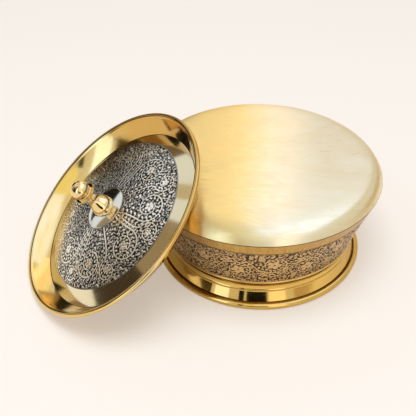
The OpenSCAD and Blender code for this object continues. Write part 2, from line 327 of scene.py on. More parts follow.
def fed(root, heading, coil, lead):
    """The scroll with its stem before it, from a root with a heading: a cubic curve that runs into
    the coil, and the whole with points every fifth of a mm."""
    t = np.linspace(0, 1, 40)[:, None]
    into = (coil[1] - coil[0]) / np.linalg.norm(coil[1] - coil[0])
    first, last = root + heading * lead, coil[0] - into * lead
    stem = root * (1 - t) ** 3 + 3 * first * t * (1 - t) ** 2 + 3 * last * t ** 2 * (1 - t) + coil[0] * t ** 3
    points = np.concatenate([stem[:-1], coil])
    way = np.concatenate([[0], np.cumsum(np.linalg.norm(np.diff(points, axis=0), axis=1))])
    even = np.arange(0, way[-1], 0.2)
    return np.stack([np.interp(even, way, points[:, k]) for k in (0, 1)], axis=1)


def vine(plate, commas, points, stem, curl, spacing, inner, lead=1.5):
    """Draws a stem that thins to its tip, with curls on both sides, longer on the inner side. Its
    points lie a fifth of a mm apart. A comma is cut beside the root of each curl."""
    way = np.gradient(points, axis=0)
    heading = np.arctan2(way[:, 1], way[:, 0])
    t = np.linspace(0, 1, len(points))
    plate.draw(points, stem * (1.15 - 0.5 * t))
    for side, reach, offset in ((inner, 1.0, lead), (-inner, 0.8, lead + spacing / 2)):
        at = (np.arange(offset, len(points) * 0.2 - 0.8, spacing) / 0.2).astype(int)
        taper = reach * (1 - 0.35 * t[at])
        discs, half = curls(points[at], heading[at] + side * 0.45, curl * taper, curl * 0.18 * taper, side * 2.6)
        for centres, radii in zip(discs, half):
            plate.stamp(centres, radii)
        beside = np.stack([-np.sin(heading[at]), np.cos(heading[at])], axis=1) * side * (stem + 0.55)
        discs, half = curls(points[at] + beside, heading[at] + side * 1.1, curl * 0.6 * taper,
                            curl * 0.13 * taper, -side * 1.6, 0.9)
        for centres, radii in zip(discs, half):
            commas.stamp(centres, radii)


def packed(plate, main, low, high, sizes, gap, seed, ring=None):
    """Fills what is left with curls, largest first: a curl is drawn where all of it stays a gap away
    from what is there. Some of the larger ones join the main ornament. ring keeps them between two
    radii."""
    rng = np.random.default_rng(seed)
    for length, width, tries in sizes:
        base = rng.uniform(low, high, (tries, 2))
        size = rng.uniform(0.8, 1.15, tries)
        discs, half = curls(base, rng.uniform(0, 2 * np.pi, tries), length * size, width * size,
                            rng.choice([-1, 1], tries) * rng.uniform(1.8, 3.4, tries), 1.3, 10)
        if ring is not None:
            far = np.hypot(discs[..., 0], discs[..., 1])
            fits = (far.min(1) > ring[0] + 0.7) & (far.max(1) < ring[1] - 0.7)
            discs, half = discs[fits], half[fits]
        room = (plate.read(discs[..., 0], discs[..., 1]) + half).max(1) < -gap
        for centres, radii in zip(discs[room], half[room]):
            if (plate.read(centres[:, 0], centres[:, 1]) + radii).max() < -gap:
                plate.stamp(centres, radii)
                if length > 2 and rng.random() < 0.55:
                    main.stamp(centres, radii)


class Ornament:
    """The plates of one pattern: the main ornament, the whole of it with its filling, the leaves
    that stay as dull as the filling, the commas that are cut into the filling and the fine lines
    that are cut into everything."""

    def __init__(self, *extent):
        self.main, self.leaves, self.commas, self.lines = (Plate(*extent) for _ in range(4))
        self.whole = None

    def fill(self, low, high, sizes, gap, seed, ring=None):
        self.whole = Plate.__new__(Plate)
        self.whole.__dict__.update(self.main.__dict__, depth=self.main.depth.copy())
        packed(self.whole, self.main, low, high, sizes, gap, seed, ring)

    def read(self, u, v):
        """The depth inside the raised metal, and inside the main ornament alone."""
        main = self.main.read(u, v)
        depth = np.maximum(main, np.minimum(self.whole.read(u, v), -self.commas.read(u, v)))
        return np.minimum(depth, -self.lines.read(u, v)), np.minimum(main, -self.leaves.read(u, v))


def wall_pattern(length, height, repeats):
    """A wave of one stem round the band. In each half wave a branch scrolls round a flower of five
    petals, and a plain leaf stands beside the crest. Curls fill the rest."""
    made = Ornament((0, 0), (length, height), length)
    period, middle = length / repeats, height / 2
    u = np.arange(0, length, 0.2)
    wave = np.stack([u, middle + height * 0.30 * np.sin(2 * np.pi * u / period)], axis=1)
    vine(made.main, made.commas, wave, 0.42, 4.4, 4.2, 1, 1.0)
    for k in range(2 * repeats):
        up = 1 if k % 2 else -1
        x = (k + 0.5) * period / 2
        centre = np.array([x, middle + up * height * 0.10])
        coil = spiral(centre, height * 0.27, height * 0.17, -up * np.pi / 2 - up * 0.5, up * 0.9)
        root = np.array([x - period * 0.2, middle - up * height * 0.26])
        vine(made.main, made.commas, fed(root, np.array([1.0, 0.0]), coil, 1.5), 0.36, 3.9, 3.7, up, 1.0)
        flower = height * 0.125
        discs, half = petals(centre, flower, 5, 0.5 * k)
        made.main.draw(discs, half)
        made.lines.draw([centre], 0.45)
        heading = 0.5 * k + 2 * np.pi * np.arange(5) / 5
        foot = centre + flower * 0.3 * np.stack([np.cos(heading), np.sin(heading)], axis=1)
        rib, thin = curls(foot, heading, flower * 0.5, 0.1, 0.0)
        made.lines.draw(rib.reshape(-1, 2), 0.08)
        for share, tall, size in ((0.17, 0.43, 0.62), (0.30, 0.45, 1.0)):
            base = np.array([x + period * share, middle - up * height * tall])
            discs, half = curls(base, 1.1 * up, 5.4 * size, 2.1 * size, 0.6 * up, 0.6)
            made.main.draw(discs.reshape(-1, 2), half.ravel())
            made.leaves.draw(discs.reshape(-1, 2), half.ravel())
            for lean in (-0.5, 0.0, 0.5):
                rib, thin = curls(base, (1.1 + lean) * up, 4.6 * size, 0.1, 0.6 * up)
                made.lines.draw(rib.reshape(-1, 2), 0.08)
    made.fill((0, 0), (length, height), ((5.0, 1.0, 9000), (3.8, 0.8, 14000), (2.6, 0.6, 22000),
                                         (1.5, 0.45, 26000), (0.6, 0.36, 16000)), 0.42, 11)
    return made


def field_pattern(inner, outer, scrolls):
    """Stems rise from the plain disc and run into great scrolls round flowers, alternately to the
    left and right. A smaller scroll stands between each two, near the rim. Curls fill the rest."""
    made = Ornament((-outer, -outer), (outer, outer))
    great = (outer - inner) * 0.275
    middle = inner + (outer - inner) * 0.58
    for k in range(scrolls):
        side = 1 if k % 2 else -1
        angle = 2 * np.pi * k / scrolls
        out = np.array([np.cos(angle), np.sin(angle)])
        coil = spiral(middle * out, great, great * 0.34, angle - side * (np.pi / 2 + 0.5), side * 1.45)
        foot = angle - side * 0.3
        root = inner * np.array([np.cos(foot), np.sin(foot)])
        vine(made.main, made.commas, fed(root, out, coil, 5.0), 0.42, 4.3, 3.9, side, 3.0)
        discs, half = petals(middle * out, great * 0.27, 5, angle)
        made.main.draw(discs, half)
        made.lines.draw([middle * out], 0.42)

        between = angle + np.pi / scrolls
        out = np.array([np.cos(between), np.sin(between)])
        lesser = great * 0.66
        home = out * (outer - lesser - 1.0)
        coil = spiral(home, lesser, lesser * 0.36, between + np.pi + side * 0.2, side * 1.2)
        vine(made.main, made.commas, fed((inner + 1.0) * out, out, coil, 5.5), 0.38, 3.8, 3.6, side, 3.0)
        discs, half = petals(home, lesser * 0.3, 5, between)
        made.main.draw(discs, half)
        made.lines.draw([home], 0.3)
    made.fill((-outer, -outer), (outer, outer), ((4.4, 0.85, 9000), (3.3, 0.68, 16000), (2.3, 0.52, 26000),
                                                 (1.3, 0.42, 30000), (0.6, 0.32, 20000)), 0.34, 23, (inner, outer))
    return made


# Materials

def socket(group, name, kind, direction, default=None):
    made = group.interface.new_socket(name=name, in_out=direction, socket_type=kind)
    if default is not None:
        made.default_value = default
    return made


class Nodes:
    """Short names for making and linking nodes in one tree."""

    def __init__(self, tree):
        self.tree = tree

    def add(self, kind, **settings):
        node = self.tree.nodes.new(kind)
        for key, value in settings.items():
            setattr(node, key, value)
        return node

    def link(self, source, target):
        self.tree.links.new(source, target)

    def put(self, target, value):
        if isinstance(value, bpy.types.NodeSocket):
            self.link(value, target)
        elif value is not None:
            target.default_value = value

    def math(self, operation, a, b=None, c=None, clamp=False):
        node = self.add("ShaderNodeMath", operation=operation, use_clamp=clamp)
        for target, value in zip(node.inputs, (a, b, c)):
            self.put(target, value)
        return node.outputs[0]

    def vector(self, operation, a, b=None, out=0):
        node = self.add("ShaderNodeVectorMath", operation=operation)
        self.put(node.inputs[0], a)
        self.put(node.inputs[1], b)
        return node.outputs[out]

    def mapped(self, value, low, high, to_low=0.0, to_high=1.0, smooth=False):
        node = self.add("ShaderNodeMapRange", interpolation_type="SMOOTHSTEP" if smooth else "LINEAR")
        for target, given in zip(node.inputs, (value, low, high, to_low, to_high)):
            self.put(target, given)
        return node.outputs[0]

    def mix(self, factor, a, b, blend="MIX"):
        node = self.add("ShaderNodeMix", data_type="RGBA", blend_type=blend)
        self.put(node.inputs[0], factor)
        self.put(node.inputs[6], a)
        self.put(node.inputs[7], b)
        return node.outputs[2]

    def noise(self, vector, scale, detail=2.0, roughness=0.5):
        node = self.add("ShaderNodeTexNoise")
        self.put(node.inputs["Vector"], vector)
        node.inputs["Scale"].default_value = scale
        node.inputs["Detail"].default_value = detail
        node.inputs["Roughness"].default_value = roughness
        return node.outputs[0]

    def group(self, group, **values):
        node = self.add("ShaderNodeGroup", node_tree=group)
        for key, value in values.items():
            self.put(node.inputs[key.replace("_", " ")], value)
        return node


def turned_grain_group():
    """Marks of turning and brushing: noise that is stretched along the turn. Its place is made of
    the distance from the axis and the height, times the fineness, and the direction round the axis,
    times the break, which sets how long a mark runs."""
    group = bpy.data.node_groups.new("turned grain", "ShaderNodeTree")
    socket(group, "Place", "NodeSocketVector", "INPUT")
    socket(group, "Fineness", "NodeSocketFloat", "INPUT", 900.0)
    socket(group, "Break", "NodeSocketFloat", "INPUT", 3.0)
    socket(group, "Grain", "NodeSocketFloat", "OUTPUT")
    socket(group, "Bands", "NodeSocketFloat", "OUTPUT")
    n = Nodes(group)
    given, result = n.add("NodeGroupInput"), n.add("NodeGroupOutput")
    parts = n.add("ShaderNodeSeparateXYZ")
    n.link(given.outputs["Place"], parts.inputs[0])
    flat = n.add("ShaderNodeCombineXYZ")
    n.link(parts.outputs[0], flat.inputs[0])
    n.link(parts.outputs[1], flat.inputs[1])
    radius = n.vector("LENGTH", flat.outputs[0], out=1)
    direction = n.add("ShaderNodeSeparateXYZ")
    n.link(n.vector("NORMALIZE", flat.outputs[0]), direction.inputs[0])
    level = n.math("MULTIPLY", parts.outputs[2], 0.83)
    across = n.math("ADD", radius, level)
    for name, factor, detail in (("Grain", 1.0, 4.0), ("Bands", 0.12, 2.0)):
        place = n.add("ShaderNodeCombineXYZ")
        n.link(n.math("MULTIPLY", across, n.math("MULTIPLY", given.outputs["Fineness"], factor)), place.inputs[0])
        n.link(n.math("MULTIPLY", direction.outputs[0], given.outputs["Break"]), place.inputs[1])
        n.link(n.math("MULTIPLY", direction.outputs[1], given.outputs["Break"]), place.inputs[2])
        n.link(n.noise(place.outputs[0], 1.0, detail, 0.6), result.inputs[name])
    return group


def brushed_grain_group():
    """Marks of brushing by hand: noise drawn out along X, whose lines wander a little and bend with
    a slow second noise. Bands are wide soft streaks of the same direction."""
    group = bpy.data.node_groups.new("brushed grain", "ShaderNodeTree")
    socket(group, "Place", "NodeSocketVector", "INPUT")
    socket(group, "Fineness", "NodeSocketFloat", "INPUT", 900.0)
    socket(group, "Break", "NodeSocketFloat", "INPUT", 30.0)
    socket(group, "Grain", "NodeSocketFloat", "OUTPUT")
    socket(group, "Bands", "NodeSocketFloat", "OUTPUT")
    n = Nodes(group)
    given, result = n.add("NodeGroupInput"), n.add("NodeGroupOutput")
    parts = n.add("ShaderNodeSeparateXYZ")
    n.link(given.outputs["Place"], parts.inputs[0])
    bend = n.math("MULTIPLY", n.math("SUBTRACT", n.noise(given.outputs["Place"], 14.0, 1.0), 0.5), 0.03)
    side = n.math("ADD", n.math("ADD", parts.outputs[1], bend), n.math("MULTIPLY", parts.outputs[2], 1.3))
    for name, factor, detail in (("Grain", 1.0, 4.0), ("Bands", 0.1, 2.0)):
        place = n.add("ShaderNodeCombineXYZ")
        n.link(n.math("MULTIPLY", parts.outputs[0], n.math("MULTIPLY", given.outputs["Break"], factor * 2 + 0.2)),
               place.inputs[0])
        n.link(n.math("MULTIPLY", side, n.math("MULTIPLY", given.outputs["Fineness"], factor)), place.inputs[1])
        n.link(n.noise(place.outputs[0], 1.0, detail, 0.6), result.inputs[name])
    return group


def handling_group():
    """Wear from handling: cloudy smudges, and fine straight scratches where noise crosses a level."""
    group = bpy.data.node_groups.new("handling marks", "ShaderNodeTree")
    socket(group, "Place", "NodeSocketVector", "INPUT")
    socket(group, "Smudges", "NodeSocketFloat", "OUTPUT")
    socket(group, "Scratches", "NodeSocketFloat", "OUTPUT")
    n = Nodes(group)
    given, result = n.add("NodeGroupInput"), n.add("NodeGroupOutput")
    cloud = n.noise(given.outputs["Place"], 38.0, 3.0, 0.55)
    n.link(n.mapped(cloud, 0.35, 0.7, smooth=True), result.inputs["Smudges"])
    drawn = n.add("ShaderNodeMapping")
    drawn.inputs["Scale"].default_value = (30.0, 700.0, 90.0)
    drawn.inputs["Rotation"].default_value = (0.3, 0.2, 0.7)
    n.link(given.outputs["Place"], drawn.inputs[0])
    lines = n.noise(drawn.outputs[0], 1.0, 2.0, 0.4)
    n.link(n.mapped(n.math("ABSOLUTE", n.math("SUBTRACT", lines, 0.5)), 0.012, 0.0), result.inputs["Scratches"])
    return group


def engraved_group():
    """Reads the depth inside the ornament, in mm, and puts out where the metal is raised and a height
    that pillows each leaf."""
    group = bpy.data.node_groups.new("engraved ornament", "ShaderNodeTree")
    socket(group, "Depth", "NodeSocketFloat", "INPUT")
    socket(group, "Raised", "NodeSocketFloat", "OUTPUT")
    socket(group, "Pillow", "NodeSocketFloat", "OUTPUT")
    n = Nodes(group)
    given, result = n.add("NodeGroupInput"), n.add("NodeGroupOutput")
    n.link(n.mapped(given.outputs[0], -0.07, 0.07, smooth=True), result.inputs["Raised"])
    n.link(n.mapped(given.outputs[0], -0.15, 0.45, smooth=True), result.inputs["Pillow"])
    return group


GROUPS = {}


def shared(name):
    """The shader node group of that name, made the first time it is asked for."""
    if name not in GROUPS:
        GROUPS[name] = {"grain": turned_grain_group, "brushed": brushed_grain_group,
                        "handling": handling_group, "engraved": engraved_group}[name]()
    return GROUPS[name]


def metal(name, colour, roughness, tint=None, grain=0.0, fineness=900.0, breaks=3.0, stretch=0.0, bump=0.0,
          place=None, wear=0.05, shaded_creases=(), zones=(), reflection_tint=None, straight=False):
    """Polished or brushed metal. The colour drifts towards tint with the bands of the grain, the
    roughness rises with the grain and the smudges, and stretch draws the gloss out across the
    turning marks. Painted shade darkens the creases, each given by its radius or height, its half
    width and its strength. zones are the radii and colours of discs that have a metal of their own, the widest
    first. A painted reflection, if given, is a direction, where along it the painted reflection starts and is full,
    its colour and its strength."""
    material = bpy.data.materials.new(name)
    material.use_nodes = True
    n = Nodes(material.node_tree)
    shader = material.node_tree.nodes["Principled BSDF"]
    place_out = local_place(n, place)
    turned_marks = n.group(shared("brushed" if straight else "grain"), Place=place_out, Fineness=fineness,
                           Break=breaks)
    handling = n.group(shared("handling"), Place=place_out)
    drift = n.math("MULTIPLY", turned_marks.outputs["Bands"], 0.6)
    drift = n.math("ADD", drift, n.math("MULTIPLY", turned_marks.outputs["Grain"], 0.4))
    drift = n.mapped(drift, 0.35, 0.65, 0.0, 1.0)
    base = n.mix(drift, (*colour, 1), (*(tint or colour), 1))
    # Painted reflection: a colour mixed in over one side of the piece.
    if reflection_tint:
        base = painted_reflection(n, place_out, base, *reflection_tint)
    radius, height = None, None
    if shaded_creases or zones:
        parts = n.add("ShaderNodeSeparateXYZ")
        n.link(place_out, parts.inputs[0])
        flat = n.add("ShaderNodeCombineXYZ")
        n.link(parts.outputs[0], flat.inputs[0])
        n.link(parts.outputs[1], flat.inputs[1])
        radius, height = n.vector("LENGTH", flat.outputs[0], out=1), parts.outputs[2]
    for edge, inner in zones:
        base = n.mix(n.mapped(radius, edge + 0.15 * MM, edge - 0.15 * MM), base, (*inner, 1))
    # Painted shade: a near-black brown is painted along each listed crease, or over a broad band, where shade falls.
    for kind, value, half, strength in shaded_creases:
        away = n.math("ABSOLUTE", n.math("SUBTRACT", radius if kind == "radius" else height, value))
        base = n.mix(n.mapped(away, half, half * 0.35, 0.0, strength), base, (0.03, 0.016, 0.006, 1))
    n.link(base, shader.inputs["Base Color"])
    shader.inputs["Metallic"].default_value = 1.0
    rough = n.math("ADD", n.math("MULTIPLY", n.math("SUBTRACT", turned_marks.outputs["Grain"], 0.5), grain),
                   roughness)
    rough = n.math("ADD", rough, n.math("MULTIPLY", handling.outputs["Smudges"], wear))
    rough = n.math("ADD", rough, n.math("MULTIPLY", handling.outputs["Scratches"], wear * 0.8), clamp=True)
    n.link(rough, shader.inputs["Roughness"])
    if stretch:
        shader.inputs["Anisotropic"].default_value = stretch
        shader.inputs["Anisotropic Rotation"].default_value = 0.25
        if straight:
            tangent = n.vector("NORMALIZE", n.vector("CROSS_PRODUCT", (1.0, 0.0, 0.0),
                                                     n.add("ShaderNodeNewGeometry").outputs["Normal"]))
            shader.inputs["Anisotropic Rotation"].default_value = 0.0
            n.link(tangent, shader.inputs["Tangent"])
        else:
            tangent = n.add("ShaderNodeTangent", direction_type="UV_MAP", uv_map="turned")
            n.link(tangent.outputs[0], shader.inputs["Tangent"])
    if bump:
        raised = n.add("ShaderNodeBump")
        raised.inputs["Strength"].default_value = 1.0
        raised.inputs["Distance"].default_value = bump
        n.link(turned_marks.outputs["Grain"], raised.inputs["Height"])
        n.link(raised.outputs[0], shader.inputs["Normal"])
    return material


def local_place(n, place):
    """Object coordinates, or those of the leaning lid, with its axis as Z."""
    coordinates = n.add("ShaderNodeTexCoord")
    if place is None:
        return coordinates.outputs["Object"]
    mapping = n.add("ShaderNodeMapping", vector_type="TEXTURE")
    mapping.inputs["Location"].default_value = place[0]
    mapping.inputs["Rotation"].default_value = place[1]
    n.link(coordinates.outputs["Object"], mapping.inputs[0])
    return mapping.outputs[0]


def painted_reflection(n, place, base, way, start, full, reflection_tint, strength):
    """A cloudy painted reflection: the share of its colour grows along a direction, from where it starts to where it is
    full.
    """
    along = n.vector("DOT_PRODUCT", place, way, out=1)
    cloud = n.math("MULTIPLY", n.math("SUBTRACT", n.noise(place, 22.0, 3.0), 0.5), 0.03)
    share = n.mapped(n.math("ADD", along, cloud), start, full, 0.0, strength, smooth=True)
    return n.mix(share, base, (*reflection_tint, 1))


def engraved_metal(name, raised_colour, filling, ground_colour, tint, raised_roughness, ground_roughness,
                   place=None, reflection_tint=None):
    """Engraved sheet: bright main ornament and duller filling over a darkened ground, by the
    attributes engraving and main_ornament."""
    material = bpy.data.materials.new(name)
    material.use_nodes = True
    n = Nodes(material.node_tree)
    shader = material.node_tree.nodes["Principled BSDF"]
    depth = n.add("ShaderNodeAttribute", attribute_name="engraving")
    main = n.add("ShaderNodeAttribute", attribute_name="main_ornament")
    ornament = n.group(shared("engraved"), Depth=depth.outputs["Fac"])
    place_out = local_place(n, place)
    marks = n.group(shared("grain"), Place=place_out, Fineness=1500.0, Break=4.0)
    patch = n.noise(place_out, 60.0, 3.0, 0.6)
    patina = n.mapped(patch, 0.4, 0.65, smooth=True)
    bright = n.mix(patina, (*raised_colour, 1), (*tint, 1))
    bright = n.mix(n.mapped(main.outputs["Fac"], -0.25, 0.0, smooth=True), (*filling, 1), bright)
    fleck = n.noise(place_out, 900.0, 2.0, 0.6)
    ground = n.mix(n.mapped(fleck, 0.35, 0.7), (*ground_colour, 1),
                   (*[min(1.0, c * 2.6 + 0.02) for c in ground_colour], 1))
    base = n.mix(ornament.outputs["Raised"], ground, bright)
    # Painted reflection: a colour mixed in over one side of the field.
    if reflection_tint:
        base = painted_reflection(n, place_out, base, *reflection_tint)
    n.link(base, shader.inputs["Base Color"])
    n.link(n.mapped(ornament.outputs["Raised"], 0.0, 1.0, 0.85, 1.0), shader.inputs["Metallic"])
    rough = n.mapped(ornament.outputs["Raised"], 0.0, 1.0, ground_roughness, raised_roughness)
    rough = n.math("ADD", rough, n.math("MULTIPLY", marks.outputs["Grain"], 0.08))
    n.link(rough, shader.inputs["Roughness"])
    bump = n.add("ShaderNodeBump")
    bump.inputs["Strength"].default_value = 0.6
    bump.inputs["Distance"].default_value = 0.00012
    n.link(ornament.outputs["Pillow"], bump.inputs["Height"])
    n.link(bump.outputs[0], shader.inputs["Normal"])
    return material


def paint(obj, material):
    obj.data.materials.clear()
    obj.data.materials.append(material)


# Sizes and colours

def distance(name, description, default):
    return bpy.props.FloatProperty(name=name, description=description, default=default, subtype="DISTANCE",
                                   unit="LENGTH", precision=5)


def angle(name, description, degrees):
    return bpy.props.FloatProperty(name=name, description=description, default=math.radians(degrees),
                                   subtype="ANGLE", unit="ROTATION")


def plain(name, description, default):
    return bpy.props.FloatProperty(name=name, description=description, default=default, precision=3)


def colour(name, description, default):
    return bpy.props.FloatVectorProperty(name=name, description=description, default=default, subtype="COLOR",
                                         size=3, min=0.0, max=1.0)


class BoxSizes(bpy.types.PropertyGroup):
    """Sizes of the upturned box, heights measured from the surface that it stands on"""
    mouth_r: distance("Mouth radius", "Outer radius of the rolled edge", 75 * MM)
    roll_r: distance("Roll radius", "Radius of the rolled edge's section", 2.6 * MM)
    roll_flat: distance("Ground flat", "Depth of the flat under the rolled edge", 0.15 * MM)
    crease_h: distance("Crease height", "Height of the crease between flare and cove", 12.2 * MM)
    crease_r: distance("Crease radius", "Radius at the crease", 67.9 * MM)
    cove: distance("Cove depth", "Depth of the cove below a straight line", 1.25 * MM)
    collar_h: distance("Collar height", "Height of the lip that ends the collar", 21.4 * MM)
    collar_r: distance("Collar radius", "Radius of that lip", 69.9 * MM)
    ridge: distance("Ridge", "Radius of the round ridge at the lip", 0.75 * MM)
    wall_foot_r: distance("Wall foot radius", "Radius where the wall meets the collar", 69.5 * MM)
    seam_h: distance("Seam height", "Height of the seam between wall and bottom", 65.4 * MM)
    seam_r: distance("Seam radius", "Radius at the seam", 85.1 * MM)
    wall_bow: distance("Wall bow", "How far the wall is drawn in at its middle", 0.6 * MM)
    line_h: distance("Line height", "Height of the scribed line above the engraving", 56.1 * MM)
    sheet: distance("Sheet", "Thickness of the sheet", 1.0 * MM)
    skin: distance("Engraved skin", "Depth of the engraved layer in the sheet", 0.45 * MM)
    shoulder_rise: distance("Shoulder rise", "Height of the shoulder above the seam", 9 * MM)
    shoulder_power: plain("Shoulder power", "Sharpness of the shoulder", 20)
    crown_rise: distance("Crown rise", "Height of the low crown", 2.5 * MM)
    relief: distance("Relief", "Depth of the engraving", 0.12 * MM)
    fatness: distance("Fatness", "How much fuller the ornament is than its drawn line", 0.15 * MM)
    repeats: bpy.props.IntProperty(name="Waves", description="Waves of the vine round the wall", default=10)


class LidSizes(bpy.types.PropertyGroup):
    """Sizes of the lid and its knob, depths measured from the ridge of the lip along the lid's axis"""
    lip_r: distance("Lip radius", "Radius of the ridge of the rolled lip", 77.3 * MM)
    roll_r: distance("Roll radius", "Radius of the lip's section", 1.7 * MM)
    trough_r: distance("Trough radius", "Radius where flange and ring meet", 67.6 * MM)
    trough_d: distance("Trough depth", "Depth of the trough", 11.9 * MM)
    field_r: distance("Field radius", "Radius of the engraved field", 57.4 * MM)
    field_d: distance("Field depth", "Depth of the field's edge", 6.2 * MM)
    disc_r: distance("Disc radius", "Radius of the plain disc", 15.8 * MM)
    disc_rise: distance("Disc rise", "Height of the disc's edge", 1.8 * MM)
    disc_crown: distance("Disc crown", "Height of the disc's own crown", 1.6 * MM)
    flange_bow: distance("Flange bow", "How far the flange is hollowed", 0.35 * MM)
    sheet: distance("Sheet", "Thickness of the sheet", 1.0 * MM)
    hole_r: distance("Hole radius", "Radius of the screw's hole", 2.05 * MM)
    skin: distance("Engraved skin", "Depth of the engraved layer in the sheet", 0.45 * MM)
    relief: distance("Relief", "Depth of the engraving", 0.06 * MM)
    fatness: distance("Fatness", "How much fuller the ornament is than its drawn line", 0.11 * MM)
    scrolls: bpy.props.IntProperty(name="Scrolls", description="Scrolls round the field", default=8)
    foot_r: distance("Knob foot radius", "Radius of the knob's foot", 7.6 * MM)
    foot_edge: distance("Foot edge", "Thickness of the foot's edge", 0.8 * MM)
    seat_rim: distance("Seat rim", "Width of the flat round the foot", 0.6 * MM)
    neck_r: distance("Neck radius", "Radius of the knob's neck", 4 * MM)
    neck_h: distance("Neck height", "Height of the neck", 12.2 * MM)
    knob_collar_r: distance("Collar radius", "Radius of the knob's collar", 7.9 * MM)
    knob_collar_h: distance("Collar height", "Height of the collar's lower edge", 17.4 * MM)
    knob_collar_t: distance("Collar thickness", "Thickness of the collar's edge", 1 * MM)
    ball_r: distance("Ball radius", "Radius of the ball", 6.5 * MM)
    ball_h: distance("Ball height", "Height of the ball's centre", 22.4 * MM)
    lean: angle("Lean", "Lean of the lid's axis from the upright", 39.7)
    facing: angle("Facing", "Compass angle that the knob side faces", 203.5)
    centre: bpy.props.FloatVectorProperty(name="Centre", description="Middle of the lip's ridge", size=3,
                                          default=(-0.103228, -0.0379804, 0.0536151), subtype="TRANSLATION",
                                          unit="LENGTH")


class Finishes(bpy.types.PropertyGroup):
    """Colours of the metal, the engraved grounds and the studio"""
    brass: colour("Polished brass", "Mirror-polished brass", (0.78, 0.49, 0.12))
    knob_brass: colour("Knob brass", "Paler brass of the knob", (0.88, 0.66, 0.30))
    brass_warm: colour("Warm brass", "Where polished brass is a little tarnished", (0.65, 0.39, 0.105))
    satin: colour("Satin brass", "Brushed bottom", (0.90, 0.76, 0.47))
    # Painted reflection: the lid's warm gold, painted on the bottom's side towards the lid.
    satin_painted_reflection: colour("Satin stain", "Warmer stain of the bottom towards the lid", (0.93, 0.67, 0.25))
    # Painted reflection: a golden tint painted over one side of the lid's engraved field.
    field_painted_reflection: colour("Field stain", "Golden side of the engraved field", (1.0, 0.76, 0.32))
    # Painted reflection: amber painted over the flange's upper side, standing in for the shaded floor and lid parts it
    # reflects.
    flange_painted_reflection: colour("Flange stain", "Amber stain of the flange's upper side", (0.62, 0.35, 0.08))
    satin_warm: colour("Warm satin", "Darker marks of the brushing", (0.87, 0.69, 0.38))
    plain_band: colour("Plain band", "Brushed band under the seam", (0.50, 0.26, 0.04))
    band: colour("Raised wall ornament", "Bright metal of the engraved wall", (0.75, 0.50, 0.22))
    band_filling: colour("Wall filling", "Duller metal between the main ornament", (0.60, 0.40, 0.18))
    band_warm: colour("Tarnished ornament", "Duller metal of the engraved wall", (0.72, 0.47, 0.21))
    band_ground: colour("Wall ground", "Darkened ground of the engraved wall", (0.042, 0.018, 0.006))
    silver: colour("Raised lid ornament", "Bright metal of the engraved field", (0.97, 0.90, 0.77))
    silver_filling: colour("Field filling", "Greyer metal between the main ornament", (0.60, 0.55, 0.47))
    silver_warm: colour("Grey lid ornament", "Greyer metal of the engraved field", (0.84, 0.74, 0.58))
    silver_ground: colour("Lid ground", "Darkened ground of the field", (0.012, 0.011, 0.01))
    ring: colour("Flange", "Polished flange and lip of the lid", (0.81, 0.57, 0.24))
    plain_ring: colour("Plain ring", "Brushed ring round the lid's field", (0.83, 0.71, 0.46))
    disc: colour("Plain disc", "Pale mirror in the middle of the lid", (0.80, 0.77, 0.66))
    inside: colour("Inside brass", "Wires, strips and washer", (0.62, 0.45, 0.18))
    steel: colour("Screw steel", "Plain screw", (0.55, 0.55, 0.57))
    paper: colour("Surface", "Pale warm white of the floor", (0.973, 0.914, 0.855))


# Places

def lid_place(sizes):
    """Rotation matrix and shift that put the lid where it leans: a turn by lean about Y, then by
    facing about Z, then the shift to its centre."""
    a, b = sizes.lean, sizes.facing
    tilt = np.array([[math.cos(a), 0, math.sin(a)], [0, 1, 0], [-math.sin(a), 0, math.cos(a)]])
    swing = np.array([[math.cos(b), -math.sin(b), 0], [math.sin(b), math.cos(b), 0], [0, 0, 1]])
    return swing @ tilt, np.array(sizes.centre)


def lid_mapping(sizes):
    return (tuple(sizes.centre), (0.0, sizes.lean, sizes.facing))


def wall_face(sizes, height):
    """Radius of the wall's outer face: a straight slope from collar to seam, less a shallow bow."""
    t = (height - sizes.collar_h) / (sizes.seam_h - sizes.collar_h)
    return sizes.wall_foot_r + (sizes.seam_r - sizes.wall_foot_r) * t - sizes.wall_bow * 4 * t * (1 - t) * 0.943


def raised_height(depth, relief):
    """How far the metal stands below its face: the full relief in the ground, none inside a leaf."""
    t = np.clip((depth + 0.15) / 0.3, 0, 1)
    return -relief * (1 - t * t * (3 - 2 * t)) + relief * 0.25 * np.clip(depth, 0, 0.8)


def engraved(name, face, back, steps, depth, main, relief, place=None):
    """A thin closed ring of sheet. Its face is sunk by the relief outside the ornament, and its back
    and its two edges are plain. The face's rim has sharp edges."""
    rows = len(face)
    height = np.vstack([raised_height(depth, relief), np.zeros((len(back), steps))])
    values = {title: np.vstack([value, np.full((len(back), steps), -0.7)])
              for title, value in (("engraving", depth), ("main_ornament", main))}
    return turned(name, np.vstack([face, back]), steps, place=place, height=height, values=values,
                  sharp=(0, rows - 1, rows, rows + len(back) - 1))


# Operators

